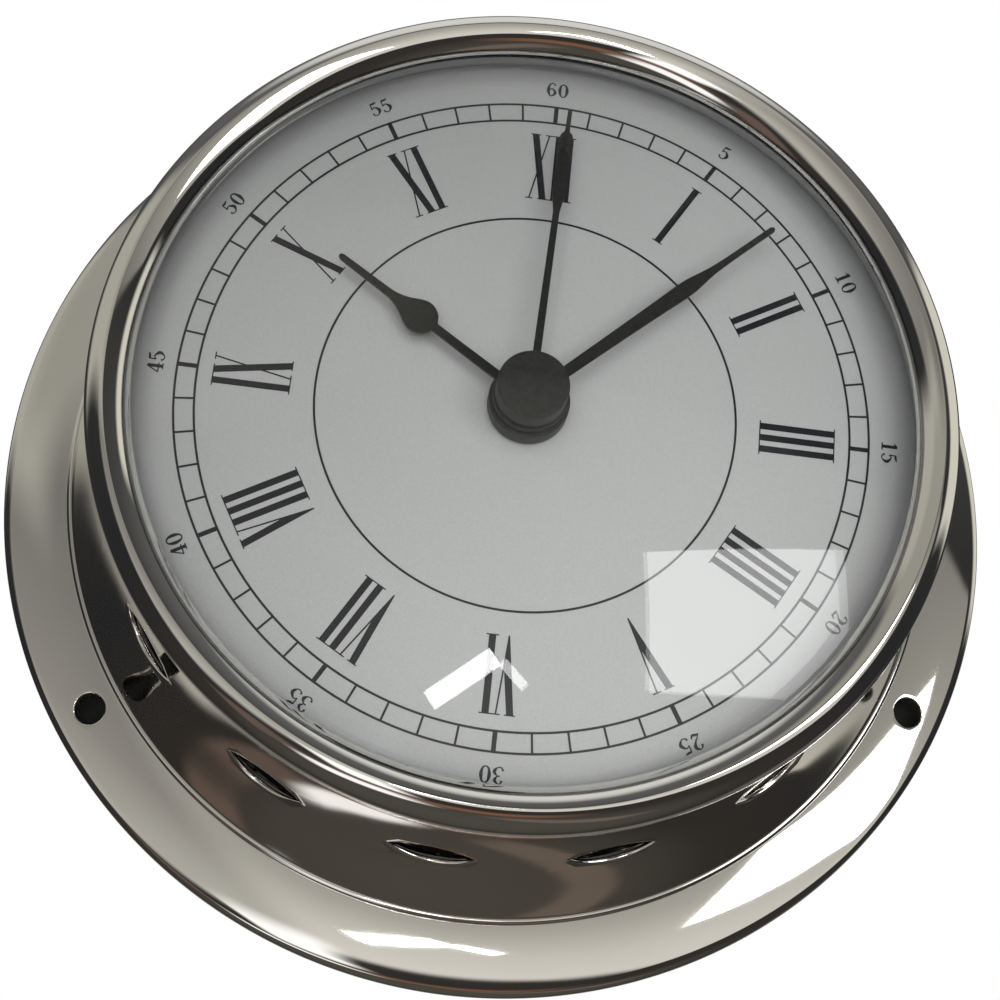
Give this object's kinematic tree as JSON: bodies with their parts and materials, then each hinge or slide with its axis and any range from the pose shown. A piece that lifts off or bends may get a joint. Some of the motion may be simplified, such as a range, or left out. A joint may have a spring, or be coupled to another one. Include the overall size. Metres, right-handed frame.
{
  "type": "ship's deck clock",
  "caption": "Round wall clock for a ship: flanged and flared metal case, twist-off front with domed glass, dial with Roman numerals and three hands.",
  "frame": {"origin": "centre of the three screw holes on the wall plane, at the back of the flange", "axes": "clock upright as it hangs on a bulkhead: the dial faces -Y, 12 o'clock is +Z, 3 o'clock is +X, +Y points into the wall"},
  "size_m": [0.12, 0.04, 0.12],
  "materials": {
    "chrome": "polished chrome plate on brass",
    "chrome_dull": "unpolished plate inside the case",
    "rubber": "matte",
    "fibre": "black vulcanised fibre, matt",
    "glass": "clear, domed",
    "dial_silver": "satin silver-grey lacquer with dark print",
    "brass": "turned",
    "movement_plastic": "fine spark-eroded grain",
    "natural_plastic": "satin moulded",
    "battery_jacket": "printed sleeve without marks",
    "nickel": "nickel plated strip",
    "board": "solder resist",
    "copper_wire": "enamelled wire",
    "magnet": "sintered",
    "hand_black": "matte black lacquer",
    "cap_black": "satin moulded"
  },
  "bodies": {
    "case": {"mounting_flange": "chrome", "case_drum": "chrome", "dust_ring": "fibre", "bayonet_ring": "chrome_dull"},
    "instrument": {"bayonet_collar": "chrome_dull", "bezel": "chrome", "glass_gasket": "rubber", "domed_glass": "glass", "reflector_ring": "dial_silver", "dial_plate": "dial_silver", "rubber_washer": "rubber", "dial_washer": "brass", "centre_nut": "brass", "threaded_bush": "brass", "movement_front_housing": "movement_plastic", "movement_rear_cover": "movement_plastic", "middle_plate": "natural_plastic", "battery": "battery_jacket", "positive_contact": "nickel", "negative_contact": "nickel", "circuit_board": "board", "quartz_crystal": "nickel", "stator": "nickel", "coil_winding": "copper_wire"},
    "second_train": {"seconds_wheel": "natural_plastic", "second_hand": "hand_black", "hand_cap": "cap_black"},
    "rotor": {"rotor_pinion": "natural_plastic", "rotor_magnet": "magnet"},
    "intermediate": {"intermediate_wheel": "natural_plastic"},
    "third": {"third_wheel": "natural_plastic"},
    "centre": {"centre_wheel": "natural_plastic"},
    "minute_train": {"minute_arbor": "natural_plastic", "minute_hand": "hand_black"},
    "setting": {"minute_wheel": "natural_plastic", "set_knob": "movement_plastic"},
    "hour_train": {"hour_wheel": "natural_plastic", "hour_hand": "hand_black"}
  },
  "joints": [
    {"name": "bayonet_twist", "type": "hinge", "parent": "case", "child": "instrument", "pos_m": [0, -0.0217, 0], "axis": [0, 1, 0], "range_deg": [-25, 0]},
    {"name": "second_hand_turn", "type": "hinge", "parent": "instrument", "child": "second_train", "pos_m": [0, -0.033, 0], "axis": [0, 1, 0], "continuous": true},
    {"name": "minute_hand_turn", "type": "hinge", "parent": "instrument", "child": "minute_train", "pos_m": [0, -0.0315, 0], "axis": [0, 1, 0], "continuous": true},
    {"name": "rotor_turn", "type": "hinge", "parent": "instrument", "child": "rotor", "pos_m": [0.01185, -0.015, 0.01313], "axis": [0, 1, 0], "continuous": true},
    {"name": "intermediate_turn", "type": "hinge", "parent": "instrument", "child": "intermediate", "pos_m": [0.00952, -0.014, 0.00444], "axis": [0, 1, 0], "continuous": true},
    {"name": "third_turn", "type": "hinge", "parent": "instrument", "child": "third", "pos_m": [-0.0108, -0.016, 0], "axis": [0, 1, 0], "continuous": true},
    {"name": "centre_turn", "type": "hinge", "parent": "instrument", "child": "centre", "pos_m": [0, -0.0176, 0], "axis": [0, 1, 0], "continuous": true},
    {"name": "set_knob_turn", "type": "hinge", "parent": "instrument", "child": "setting", "pos_m": [0, -0.009, 0.012], "axis": [0, 1, 0], "continuous": true},
    {"name": "hour_hand_turn", "type": "hinge", "parent": "instrument", "child": "hour_train", "pos_m": [0, -0.0309, 0], "axis": [0, 1, 0], "continuous": true}
  ],
  "couplings": [
    {"joint": "rotor_turn", "follows": "second_hand_turn", "ratio": 30},
    {"joint": "intermediate_turn", "follows": "second_hand_turn", "ratio": -6},
    {"joint": "third_turn", "follows": "second_hand_turn", "ratio": -0.125},
    {"joint": "centre_turn", "follows": "second_hand_turn", "ratio": 0.016667},
    {"joint": "set_knob_turn", "follows": "minute_hand_turn", "ratio": -0.33333},
    {"joint": "hour_hand_turn", "follows": "minute_hand_turn", "ratio": 0.083333}
  ]
}
